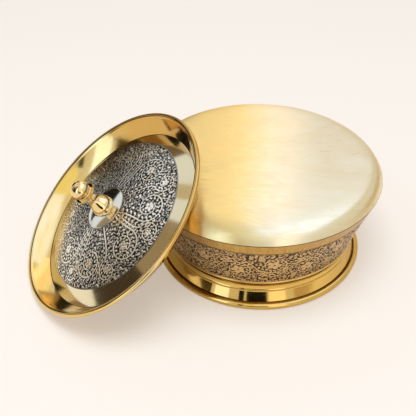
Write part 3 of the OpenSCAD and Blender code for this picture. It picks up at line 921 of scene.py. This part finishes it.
class PAAN_OT_bottom(bpy.types.Operator):
    """Makes the satin bottom: a low crown with a rounded shoulder that falls to the seam"""
    bl_idname = "paan.bottom"
    bl_label = "Bottom"

    def execute(self, context):
        s, f = context.scene.paan_box, context.scene.paan_finish
        share = np.concatenate([np.linspace(0, 0.8, 24), 1 - 0.2 * np.linspace(1, 0, 44)[1:] ** 1.8])
        outer = np.stack([share * s.seam_r, s.seam_h + s.shoulder_rise * (1 - share ** s.shoulder_power)
                          + s.crown_rise * (1 - share ** 2)], axis=1)
        inner = offset_path(outer, -s.sheet)
        inner = inner[inner[:, 1] > s.seam_h + 0.05 * MM][1:]
        edge = [[inner[-1, 0], s.seam_h], [s.seam_r - 0.12 * MM, s.seam_h - 0.02 * MM]]
        profile = np.vstack([outer, edge[::-1], inner[::-1], [[0, inner[0, 1]]]])
        obj = turned("bottom_shell", profile, 240, capped=True)
        # Painted shade: a dark line along the seam's crease, which also stands for the seam's dark joint.
        shaded_creases = (("height", s.seam_h, 0.4 * MM, 0.93),)
        # The bottom's side towards the lid gets a painted reflection of the lid's warm gold.
        paint(obj, metal("satin bottom", f.satin, 0.33, f.satin_warm, grain=0.42, fineness=650.0, breaks=45.0,
                         stretch=0.9, bump=0.00002, wear=0.05, shaded_creases=shaded_creases, straight=True,
                         reflection_tint=((1, 0, 0), 12 * MM, -20 * MM, f.satin_painted_reflection, 0.9)))
        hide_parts("bottom")
        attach(obj, "box")
        return {"FINISHED"}


class PAAN_OT_wall(bpy.types.Operator):
    """Makes the tapering wall with its plain band, scribed line and engraved band"""
    bl_idname = "paan.wall"
    bl_label = "Wall"

    def execute(self, context):
        s, f = context.scene.paan_box, context.scene.paan_finish
        line = s.line_h
        low, high = s.collar_h, line - 0.25 * MM
        upper = np.linspace(s.seam_h, line + 0.3 * MM, 24)
        plain_face = np.stack([wall_face(s, upper), upper], axis=1)
        bed = np.linspace(high, low, 14)
        bed_face = np.stack([wall_face(s, bed) - s.skin, bed], axis=1)
        back = np.linspace(low, s.seam_h, 20)
        back_face = np.stack([wall_face(s, back) - s.sheet * 1.06, back], axis=1)
        groove = [[wall_face(s, line) - 0.22 * MM, line]]
        corners = np.vstack([plain_face, groove, [[bed_face[0, 0], high + 0.02 * MM]], bed_face, back_face])
        fillets = np.zeros(len(corners))
        fillets[0], fillets[23], fillets[24] = 0.35 * MM, 0.12 * MM, 0.08 * MM
        obj = turned("wall_shell", smooth_corners(corners, fillets, 4 * MM), 240)
        # Painted shade: dark lines along the seam's crease and in the scribed line's groove.
        shaded_creases = (("height", s.seam_h, 0.45 * MM, 0.93), ("height", line, 0.2 * MM, 0.93))
        paint(obj, metal("plain band", f.plain_band, 0.3, f.brass_warm, grain=0.3, fineness=700.0, breaks=40.0,
                         stretch=0.3, wear=0.05, shaded_creases=shaded_creases))
        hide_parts("body_wall")
        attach(obj, "box")

        length = 2 * math.pi * wall_face(s, (low + high) / 2) / MM
        pattern = wall_pattern(length, (high - low) / MM, s.repeats)
        steps = 1640
        u = np.arange(steps) / steps * length
        dress = engraved_metal("engraved wall", f.band, f.band_filling, f.band_ground, f.band_warm, 0.28, 0.5)
        middle = (low + high) / 2
        for name, top, foot in (("engraved_band_upper", high, middle), ("engraved_band_lower", middle, low)):
            v = np.linspace(top, foot, 57)
            along, up = np.meshgrid(u, (v - low) / MM, indexing="xy")
            depth, main = pattern.read(along, up)
            border = np.minimum(up, (high - low) / MM - up)
            depth = np.where(border < 0.35, 0.4, np.where(border < 0.8, -0.3, depth + s.fatness / MM))
            main = np.where(border < 0.35, 0.4, main)
            face = np.stack([wall_face(s, v), v], axis=1)
            back = face[[-1, 0]] - [s.skin, 0]
            obj = engraved(name, face, back, steps, depth, main, s.relief)
            paint(obj, dress)
            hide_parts("body_wall")
            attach(obj, "box")
        return {"FINISHED"}


class PAAN_OT_collar(bpy.types.Operator):
    """Makes the polished collar: lip, cove, crease, flare and rolled edge"""
    bl_idname = "paan.collar"
    bl_label = "Mouth collar"

    def execute(self, context):
        s, f = context.scene.paan_box, context.scene.paan_finish
        centre = np.array([s.mouth_r - s.roll_r, s.roll_r - s.roll_flat])
        wire = s.roll_r - s.sheet
        ridge = arc_points([s.collar_r - s.ridge, s.collar_h - s.ridge], s.ridge, 90, -65, 14)
        thin = arc_points([s.crease_r + 0.1 * MM, s.crease_h + 0.55 * MM], 0.36 * MM, 55, -80, 10)
        t = np.linspace(0, 1, 20)[1:-1]
        chord = thin[0] - ridge[-1]
        inward = np.array([chord[1], -chord[0]]) / np.linalg.norm(chord)
        cove = ridge[-1] + chord * t[:, None] + inward * (s.cove * 4 * t * (1 - t))[:, None]
        notch = [[s.crease_r - 0.2 * MM, s.crease_h]]
        foot = centre + wire * np.array([math.cos(math.radians(121)), math.sin(math.radians(121))])
        flat_half = math.degrees(math.acos((s.roll_r - s.roll_flat) / s.roll_r))
        inside_roll = arc_points(centre, wire, 121, 462, 44)
        outside_roll = arc_points(centre, s.roll_r, 462, 270 + flat_half, 40)
        inner_roll = arc_points(centre, s.roll_r, 270 - flat_half, 141, 24)
        lean = math.atan2(foot[0] - s.crease_r, s.crease_h - foot[1])
        crease_inside = [s.crease_r - s.sheet / math.cos(lean), s.crease_h]
        top_inside = [wall_face(s, s.collar_h) - s.sheet * 0.943, s.collar_h]
        outer = np.vstack([ridge, cove, thin, notch])
        corners = np.vstack([outer, inside_roll, outside_roll, inner_roll, [crease_inside, top_inside]])
        fillets = np.zeros(len(corners))
        fillets[-1], fillets[-2], fillets[len(outer) + 44] = 0.1 * MM, 1.0 * MM, 0.15 * MM
        obj = turned("polished_collar", smooth_corners(corners, fillets, 1.2 * MM), 288)
        # Painted shade: dark lines at the crease, at the lip and round the rolled edge, and a broad band of painted
        # shade over the cove.
        shaded_creases = (("height", s.crease_h, 0.4 * MM, 0.95), ("height", s.collar_h + 0.1 * MM, 0.25 * MM, 0.93),
                   ("height", s.collar_h - 3.2 * MM, 2.2 * MM, 0.75), ("radius", centre[0] - 0.75 * MM, 0.5 * MM, 0.93))
        paint(obj, metal("polished brass", f.brass, 0.06, f.brass_warm, grain=0.05, fineness=800.0, breaks=2.0,
                         wear=0.05, shaded_creases=shaded_creases))
        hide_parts("mouth_collar")
        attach(obj, "box")
        return {"FINISHED"}


class PAAN_OT_lid(bpy.types.Operator):
    """Makes the lid: rolled lip, flange, trough, plain ring, engraved field and plain disc"""
    bl_idname = "paan.lid"
    bl_label = "Lid"

    def execute(self, context):
        s, f = context.scene.paan_lid, context.scene.paan_finish
        place, mapping = lid_place(s), lid_mapping(s)
        top = s.disc_rise + s.disc_crown
        seat = s.foot_r + s.seat_rim
        centre = np.array([s.lip_r, -s.roll_r])
        flange = centre - np.array([s.trough_r, -s.trough_d])
        reach = np.linalg.norm(flange) - s.roll_r
        flange /= np.linalg.norm(flange)
        start = math.degrees(math.atan2(flange[0], -flange[1]))
        t = np.linspace(0, 1, 16)
        outward = np.array([flange[1], -flange[0]])
        slope = (np.array([s.trough_r, -s.trough_d]) + flange * (reach + s.roll_r) * t[:, None]
                 - outward * (s.roll_r * t - s.flange_bow * 4 * t * (1 - t))[:, None])
        slope[-1] += outward * 0.28 * MM
        disc_radii = np.linspace(seat, s.disc_r, 14)
        disc = np.stack([disc_radii, s.disc_rise + s.disc_crown * (s.disc_r ** 2 - disc_radii ** 2)
                         / (s.disc_r ** 2 - seat ** 2)], axis=1)

        def field(radii):
            share = (radii ** 2 - s.disc_r ** 2) / (s.field_r ** 2 - s.disc_r ** 2)
            return np.stack([radii, s.disc_rise - (s.disc_rise + s.field_d) * share], axis=1)

        bed = field(np.linspace(s.disc_r, s.field_r, 20)) - [0, s.skin]
        ring = np.vstack([[[s.field_r, -s.field_d]], slope])
        lip = arc_points(centre, s.roll_r, start - 14, -135, 40)
        wire = arc_points(centre, s.roll_r - s.sheet, -135, start, 30)
        back_radii = np.linspace(s.field_r, s.disc_r, 16)
        back = np.vstack([[[s.trough_r + 0.35 * s.sheet, -s.trough_d - 0.95 * s.sheet]],
                          field(back_radii) - [0, s.sheet * 1.02],
                          disc[::-3] - [0, s.sheet], [[s.hole_r, top - s.sheet]]])
        corners = np.vstack([[[s.hole_r, top]], disc, bed, ring, lip, wire, back])
        fillets = np.zeros(len(corners))
        fillets[15 + 20] = 0.12 * MM
        fillets[15 + 20 + 1] = 0.35 * MM
        obj = turned("lid_dish", smooth_corners(corners, fillets, 1.5 * MM), 320, place=place)
        # Painted shade: dark lines in the trough, where the flange meets the lip, and round the edges of the field and
        # the disc.
        shaded_creases = (("radius", s.trough_r, 0.3 * MM, 0.93), ("radius", slope[-1, 0], 0.28 * MM, 0.93),
                   ("radius", s.field_r + 0.1 * MM, 0.2 * MM, 0.93), ("radius", s.disc_r, 0.2 * MM, 0.93))
        # The flange's upper side gets an amber painted reflection.
        paint(obj, metal("lid brass", f.ring, 0.1, f.brass, grain=0.08, fineness=700.0, breaks=2.0,
                         place=mapping, wear=0.04, stretch=0.35, shaded_creases=shaded_creases,
                         reflection_tint=((1, 0, 0), -8 * MM, -45 * MM, f.flange_painted_reflection, 0.85),
                         zones=((s.trough_r, f.plain_ring), (s.disc_r, f.disc))))
        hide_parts("lid_pan")
        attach(obj, "lid")

        pattern = field_pattern(s.disc_r / MM, s.field_r / MM, s.scrolls)
        # The field gets a golden painted reflection over one side.
        dress = engraved_metal("engraved lid field", f.silver, f.silver_filling, f.silver_ground, f.silver_warm,
                               0.1, 0.22, place=mapping,
                               reflection_tint=((0.73, -0.68, 0), 34 * MM, 53 * MM, f.field_painted_reflection, 0.85))
        half_way = s.disc_r + (s.field_r - s.disc_r) * 0.53
        for name, first, last, rows, steps in (("engraved_field_inner", s.disc_r, half_way, 84, 900),
                                               ("engraved_field_outer", half_way, s.field_r, 70, 1350)):
            radii = np.linspace(first, last, rows)
            turn = 2 * np.pi * np.arange(steps) / steps
            x, y = radii[:, None] * np.cos(turn) / MM, radii[:, None] * np.sin(turn) / MM
            depth, main = pattern.read(x, y)
            border = np.minimum(radii - s.disc_r, s.field_r - radii)[:, None] / MM
            depth = np.where(border < 0.3, 0.4, np.where(border < 0.65, -0.3, depth + s.fatness / MM))
            back = field(np.linspace(last, first, 4)) - [0, s.skin]
            obj = engraved(name, field(radii), back, steps, depth, main, s.relief, place)
            paint(obj, dress)
            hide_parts("lid_pan")
            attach(obj, "lid")
        return {"FINISHED"}


class PAAN_OT_knob(bpy.types.Operator):
    """Makes the turned knob: bell foot, waisted neck, thin collar and ball"""
    bl_idname = "paan.knob"
    bl_label = "Knob"

    def execute(self, context):
        s, f = context.scene.paan_lid, context.scene.paan_finish
        top = s.disc_rise + s.disc_crown
        t = np.linspace(0, 1, 30)
        bell = np.stack([s.neck_r + (s.foot_r - s.neck_r) * (1 + np.cos(np.pi * t)) / 2,
                         s.foot_edge + (s.neck_h - s.foot_edge) * t], axis=1)
        flare = np.stack([s.neck_r + (s.knob_collar_r - s.neck_r) * (1 - np.cos(np.pi / 2 * t[1:])),
                          s.neck_h + (s.knob_collar_h - s.neck_h) * t[1:]], axis=1)
        seat = s.knob_collar_h + s.knob_collar_t
        begin = math.degrees(math.asin((seat - s.ball_h) / s.ball_r))
        ball = arc_points([0, s.ball_h], s.ball_r, begin, 90, 44)
        ball[-1, 0] = 0
        corners = np.vstack([[[0, 0]], [[s.foot_r, 0]], bell, flare, [[s.knob_collar_r, seat]], ball])
        fillets = np.zeros(len(corners))
        fillets[1], fillets[2] = 0.2 * MM, 0.25 * MM
        fillets[2 + 30 + 28], fillets[2 + 30 + 29] = 0.25 * MM, 0.25 * MM
        profile = smooth_corners(corners, fillets, 1 * MM, closed=False) + [0, top]
        obj = turned("turned_knob", profile, 160, place=lid_place(s), capped=True)
        paint(obj, metal("knob brass", f.knob_brass, 0.06, f.ring, grain=0.03, fineness=900.0, breaks=2.0,
                         place=lid_mapping(s), wear=0.03))
        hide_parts("knob")
        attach(obj, "lid")
        return {"FINISHED"}


class PAAN_OT_fittings(bpy.types.Operator):
    """Gives the wires, strips, screw and washer their metal"""
    bl_idname = "paan.fittings"
    bl_label = "Fittings"

    def execute(self, context):
        f = context.scene.paan_finish
        mapping = lid_mapping(context.scene.paan_lid)
        drawn = metal("drawn wire", f.inside, 0.3, f.brass_warm, grain=0.1, wear=0.1)
        strip = metal("rolled strip", f.inside, 0.35, f.brass_warm, grain=0.15, wear=0.12)
        screw = metal("screw steel", f.steel, 0.28, f.steel, grain=0.1, place=mapping, wear=0.1)
        for name, material in (("mouth_wire", drawn), ("lid_wire", drawn), ("neck_strip", strip),
                               ("seam_strip", strip), ("knob_washer", strip), ("knob_screw", screw)):
            paint(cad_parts[name], material)
        return {"FINISHED"}


class PAAN_OT_stage(bpy.types.Operator):
    """Makes the pale floor, the studio lights and cards, the world and the camera"""
    bl_idname = "paan.stage"
    bl_label = "Stage"

    def execute(self, context):
        f = context.scene.paan_finish
        scene = context.scene
        floor = card("floor", (0, 0, 0), (0, 0, 0), (12, 12), None)
        floor.data.materials.append(floor_material(f.paper))
        scene.world = studio_world(f.paper, 0.45, 0.98)
        softbox = lamp("overhead softbox", (0.05, -0.3, 1.7), (0.0, 0.0, 0.0), (1.1, 1.0), 5.7)
        softbox.visible_glossy = False
        side = lamp("left softbox", (-0.5, -0.2, 0.95), (-0.05, 0.0, 0.05), (0.4, 0.5), 1.0)
        side.visible_glossy = False
        dark = matte("dark card", (0.012, 0.011, 0.01))
        brown = glowing("brown card", (1.0, 0.76, 0.45), 0.34)
        gold = glowing("gold card", (1.0, 0.95, 0.84), 1.3)
        deep = glowing("deep card", (1.0, 0.68, 0.36), 0.17)
        umber = glowing("umber card", (1.0, 0.7, 0.4), 0.06)
        linen = glowing("linen card", (1.0, 0.87, 0.66), 0.72)
        tan = glowing("tan card", (1.0, 0.85, 0.58), 0.6)
        bronze = glowing("bronze card", (1.0, 0.80, 0.54), 0.62)
        beige = glowing("beige card", (1.0, 0.86, 0.68), 0.64)
        bright = glowing("bright card", (0.45, 0.62, 1.0), 3.1)
        cream = glowing("cream card", (0.95, 1.0, 0.72), 1.15)
        pale = glowing("pale card", (0.90, 0.84, 0.86), 1.85)
        overhead = glowing("overhead card", (0.52, 0.64, 1.0), 2.4)
        card("overhead_card", (0.5, 0.0, 1.2), (0.0, 0.0, 0.0), (1.0, 1.7), overhead, hidden=True)
        standing_card("front card right", (0.02, -0.068, 0.0), 1.05, 168, 190, 0.0, 0.34, dark)
        standing_card("front card left", (-0.005, -0.068, 0.0), 1.05, 191.2, 197, 0.0, 0.66, dark)
        standing_card("left strip", (-0.02, -0.06, 0.0), 0.95, 207, 223, 0.0, 1.3, bright)
        standing_card("left card", (-0.08, -0.07, 0.0), 0.9, 225, 262, 0.0, 0.62, umber)
        standing_card("left brown card", (-0.08, -0.05, 0.0), 0.9, 262, 283, 0.0, 0.85, brown)
        standing_card("left upper card", (-0.08, -0.07, 0.0), 0.92, 218, 258, 0.62, 2.4, brown)
        standing_card("far left card", (-0.1, -0.03, 0.0), 0.55, 295, 322, 0.0, 0.36, dark)
        standing_card("far left low card", (-0.1, -0.03, 0.0), 0.56, 322, 340, 0.0, 0.3, brown)
        standing_card("back left card", (-0.02, 0.0, 0.0), 1.0, -14, -3, 0.42, 1.6, gold)
        standing_card("back card", (-0.02, 0.0, 0.0), 1.0, -3, 7, 0.4, 2.0, pale)
        standing_card("back deep card", (-0.05, -0.05, 0.07), 1.0, -33, -17, 0.38, 0.85, deep)
        standing_card("left tan card", (-0.05, -0.05, 0.07), 0.4, -64, -38, 0.69, 1.4, tan)
        standing_card("back upper card", (0.0, 0.0, 0.0), 1.02, 9, 46, 0.44, 1.12, linen)
        standing_card("back low card", (0.0, 0.0, 0.0), 1.2, -22, 24, 0.0, 0.5, beige)
        standing_card("back right card", (0.06, 0.03, 0.0), 0.9, 24, 70, 0.0, 0.3, bronze)
        standing_card("back right strip", (-0.1, -0.04, 0.07), 0.8, 25, 62, 0.95, 1.7, bright)
        standing_card("right low card", (0.06, -0.03, 0.0), 0.95, 70, 141, 0.0, 0.3, beige)
        standing_card("right strip", (0.02, -0.06, 0.0), 1.0, 148, 166, 0.0, 0.9, pale)
        standing_card("front upper card", (0.0, -0.068, 0.0), 1.05, 150, 192, 0.7, 1.7, cream)
        camera = bpy.data.objects.new("camera", bpy.data.cameras.new("camera"))
        scene.collection.objects.link(camera)
        camera.location = (0.0, -0.443358, 0.370360)
        camera.rotation_euler = tuple(math.radians(a) for a in (52.47774, 0.40649, 4.47990))
        camera.data.lens = 65.767
        camera.data.sensor_width = 36.0
        camera.data.clip_start = 0.01
        scene.camera = camera
        scene.view_settings.view_transform = "Standard"
        return {"FINISHED"}


def card(name, centre, turn, size, material, hidden=False):
    """A flat rectangle of the stage, made in place. A hidden one shows only in reflections."""
    x, y = size[0] / 2, size[1] / 2
    mesh = bpy.data.meshes.new(name)
    mesh.from_pydata([(-x, -y, 0), (x, -y, 0), (x, y, 0), (-x, y, 0)], [], [(0, 1, 2, 3)])
    obj = bpy.data.objects.new(name.replace(" ", "_"), mesh)
    bpy.context.scene.collection.objects.link(obj)
    obj.location, obj.rotation_euler = centre, turn
    if material is not None:
        mesh.materials.append(material)
    if hidden:
        obj.visible_camera = False
        obj.visible_diffuse = False
        obj.visible_shadow = False
    return obj


def matte(name, colour):
    material = bpy.data.materials.new(name)
    material.use_nodes = True
    shader = material.node_tree.nodes["Principled BSDF"]
    shader.inputs["Base Color"].default_value = (*colour, 1)
    shader.inputs["Roughness"].default_value = 1.0
    shader.inputs["Specular IOR Level"].default_value = 0.0
    return material


def floor_material(colour):
    """A pale floor that the camera and reflections see partly at its own colour, so that it stays
    even and still keeps the shadows."""
    material = bpy.data.materials.new("pale floor")
    material.use_nodes = True
    n = Nodes(material.node_tree)
    material.node_tree.nodes.clear()
    output = n.add("ShaderNodeOutputMaterial")
    diffuse, glow, mixed = n.add("ShaderNodeBsdfDiffuse"), n.add("ShaderNodeEmission"), n.add("ShaderNodeMixShader")
    diffuse.inputs["Color"].default_value = (0.95, 0.96, 0.965, 1)
    glow.inputs["Color"].default_value = (colour[0], colour[1] * 0.91, colour[2] * 0.81, 1)
    path = n.add("ShaderNodeLightPath")
    seen = n.math("MULTIPLY", path.outputs["Is Camera Ray"], 0.46)
    mirrored = n.math("MULTIPLY", path.outputs["Is Glossy Ray"], 0.12)
    n.link(n.math("ADD", seen, mirrored), mixed.inputs[0])
    n.link(diffuse.outputs[0], mixed.inputs[1])
    n.link(glow.outputs[0], mixed.inputs[2])
    n.link(mixed.outputs[0], output.inputs[0])
    return material


def studio_world(paper, strength, mirrored):
    """Even soft light. The camera sees white paper where the floor ends, and metal sees it dimmer."""
    world = bpy.data.worlds.new("studio")
    world.use_nodes = True
    n = Nodes(world.node_tree)
    sky = world.node_tree.nodes["Background"]
    path = n.add("ShaderNodeLightPath")
    level = n.mapped(path.outputs["Is Glossy Ray"], 0.0, 1.0, strength, mirrored)
    soft = n.mix(path.outputs["Is Glossy Ray"], (0.98, 0.96, 0.94, 1), (0.86, 0.92, 1.0, 1))
    n.link(n.mix(path.outputs["Is Camera Ray"], soft, (*paper, 1)), sky.inputs["Color"])
    n.link(n.math("MAXIMUM", level, path.outputs["Is Camera Ray"]), sky.inputs["Strength"])
    return world


def glowing(name, colour, strength):
    material = bpy.data.materials.new(name)
    material.use_nodes = True
    n = Nodes(material.node_tree)
    material.node_tree.nodes.clear()
    output, glow = n.add("ShaderNodeOutputMaterial"), n.add("ShaderNodeEmission")
    glow.inputs["Color"].default_value = (*colour, 1)
    glow.inputs["Strength"].default_value = strength
    n.link(glow.outputs[0], output.inputs[0])
    return material


def standing_card(name, middle, reach, first, last, low, high, material):
    """An upright card that a mirror at the middle sees between two compass angles, clockwise from
    the back, at that reach and between two heights."""
    a, b = math.radians(first), math.radians(last)
    half = (b - a) / 2
    width = 2 * reach * math.tan(half)
    bearing = (a + b) / 2
    centre = (middle[0] + reach * math.sin(bearing), middle[1] + reach * math.cos(bearing), (low + high) / 2)
    return card(name, centre, (math.radians(90), 0, -bearing), (width, high - low), material, hidden=True)


def lamp(name, place, target, size, radiance):
    """A rectangular soft light that faces its target, as bright as its radiance."""
    light = bpy.data.lights.new(name, "AREA")
    light.shape = "RECTANGLE"
    light.size, light.size_y = size
    light.energy = radiance * math.pi * size[0] * size[1]
    obj = bpy.data.objects.new(name.replace(" ", "_"), light)
    bpy.context.scene.collection.objects.link(obj)
    obj.location = place
    obj.rotation_euler = (Vector(target) - Vector(place)).to_track_quat("-Z", "Y").to_euler()
    obj.visible_camera = False
    return obj


class PAAN_PT_panel(bpy.types.Panel):
    """Lists the box's sizes, finishes and pieces"""
    bl_label = "Paan Box"
    bl_idname = "PAAN_PT_panel"
    bl_space_type = "VIEW_3D"
    bl_region_type = "UI"
    bl_category = "Paan Box"

    def draw(self, context):
        layout = self.layout
        for made in OPERATORS:
            layout.operator(made.bl_idname)
        for group in (context.scene.paan_box, context.scene.paan_lid, context.scene.paan_finish):
            column = layout.box().column()
            for name in group.__annotations__:
                column.prop(group, name)


OPERATORS = (PAAN_OT_bottom, PAAN_OT_wall, PAAN_OT_collar, PAAN_OT_lid, PAAN_OT_knob, PAAN_OT_fittings, PAAN_OT_stage)
CLASSES = (BoxSizes, LidSizes, Finishes, *OPERATORS, PAAN_PT_panel)


def register():
    for made in CLASSES:
        bpy.utils.register_class(made)
    bpy.types.Scene.paan_box = bpy.props.PointerProperty(type=BoxSizes)
    bpy.types.Scene.paan_lid = bpy.props.PointerProperty(type=LidSizes)
    bpy.types.Scene.paan_finish = bpy.props.PointerProperty(type=Finishes)


def unregister():
    del bpy.types.Scene.paan_box, bpy.types.Scene.paan_lid, bpy.types.Scene.paan_finish
    for made in reversed(CLASSES):
        bpy.utils.unregister_class(made)


def main():
    register()
    bpy.ops.paan.bottom()
    bpy.ops.paan.wall()
    bpy.ops.paan.collar()
    bpy.ops.paan.lid()
    bpy.ops.paan.knob()
    bpy.ops.paan.fittings()
    bpy.ops.paan.stage()
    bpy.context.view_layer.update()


if __name__ == "__main__":
    main()
